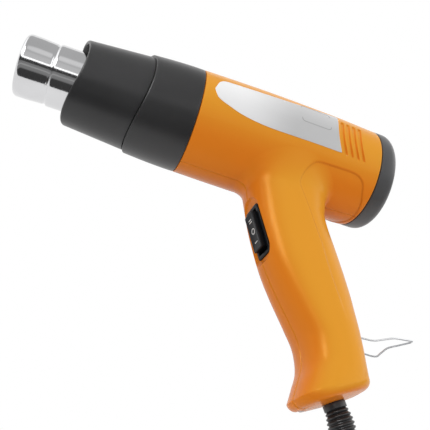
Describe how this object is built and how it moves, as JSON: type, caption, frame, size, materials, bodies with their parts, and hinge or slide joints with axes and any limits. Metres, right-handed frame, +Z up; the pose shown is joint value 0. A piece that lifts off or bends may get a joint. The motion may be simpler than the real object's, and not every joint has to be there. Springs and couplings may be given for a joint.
{
  "type": "heat gun",
  "caption": "Pistol-shaped corded heat gun with steel nozzle, black guard and collar, orange handle with rocker switch and a bent wire stand.",
  "frame": {"origin": "bottom centre of the tool's box (without the cord), on the bench that the tool lies on", "axes": "+X along the barrel from the nozzle to the rear cap, +Y from the handle to the barrel's top, +Z up: the tool lies on its right side"},
  "size_m": [0.2566, 0.4219, 0.0651],
  "materials": {
    "orange_plastic": "semi-gloss moulded",
    "black_plastic": "fine matt moulded",
    "black_rubber": "satin",
    "bright_steel": "polished",
    "zinc_steel": "zinc plated",
    "silver_foil": "satin",
    "mica": "matt sheet",
    "heating_wire": "oxidised",
    "copper": "bright copper",
    "carbon": "matt",
    "bronze": "sintered",
    "nylon": "natural",
    "board": "laminate",
    "brass": "plain",
    "brown_lead": "insulated wire",
    "blue_lead": "insulated wire",
    "ferrite": "matt"
  },
  "bodies": {
    "tool": {"nozzle": "bright_steel", "front_guard": "black_plastic", "rear_collar": "black_plastic", "flange_screw_1": "zinc_steel", "flange_screw_2": "zinc_steel", "flange_screw_3": "zinc_steel", "mica_sleeve": "mica", "heater_front_disc": "mica", "heater_rear_disc": "mica", "heater_former": "mica", "heater_coil_low": "heating_wire", "heater_coil_high": "heating_wire", "thermal_fuse": "zinc_steel", "air_duct": "nylon", "motor_mount": "nylon", "motor_can": "zinc_steel", "motor_end_cap": "black_plastic", "motor_bush_front": "bronze", "motor_bush_rear": "bronze", "motor_magnet_upper": "ferrite", "motor_magnet_lower": "ferrite", "brush_1": "carbon", "brush_2": "carbon", "diode_board": "board", "diode_1": "carbon", "diode_2": "carbon", "diode_3": "carbon", "diode_4": "carbon", "left_housing": "orange_plastic", "right_housing": "orange_plastic", "housing_screw_1": "zinc_steel", "housing_screw_2": "zinc_steel", "housing_screw_3": "zinc_steel", "housing_screw_4": "zinc_steel", "housing_screw_5": "zinc_steel", "label_plate": "silver_foil", "rear_cap": "black_plastic", "switch_body": "black_plastic", "switch_blade_upper": "brass", "switch_blade_middle": "brass", "switch_blade_lower": "brass", "strain_relief": "black_rubber", "cord_inner_end": "black_rubber", "cord_clamp": "nylon", "clamp_screw_1": "zinc_steel", "clamp_screw_2": "zinc_steel", "live_lead": "brown_lead", "neutral_lead": "blue_lead", "power_cord": "black_rubber", "cord_coil": "black_rubber", "cord_tie": "black_plastic", "plug_body": "black_rubber", "plug_pin_1": "brass", "plug_pin_2": "brass"},
    "rotor": {"fan": "black_plastic", "motor_shaft": "zinc_steel", "rotor_core": "zinc_steel", "commutator": "copper"},
    "rocker": {"switch_rocker": "black_plastic"},
    "stand": {"stand_wire": "bright_steel"}
  },
  "joints": [
    {"name": "motor_spin", "type": "hinge", "parent": "tool", "child": "rotor", "pos_m": [0.01098, 0.07914, 0.03213], "axis": [0.9999, 0, -0.0102], "continuous": true},
    {"name": "rocker_tilt", "type": "hinge", "parent": "tool", "child": "rocker", "pos_m": [0.02863, 0.01397, 0.02647], "axis": [-0.0101, 0.0838, -0.9964], "range_deg": [-10, 10]},
    {"name": "stand_swing", "type": "hinge", "parent": "tool", "child": "stand", "pos_m": [0.08488, -0.03924, 0.02143], "axis": [-0.0101, 0.0838, -0.9964], "range_deg": [-30, 30]}
  ]
}
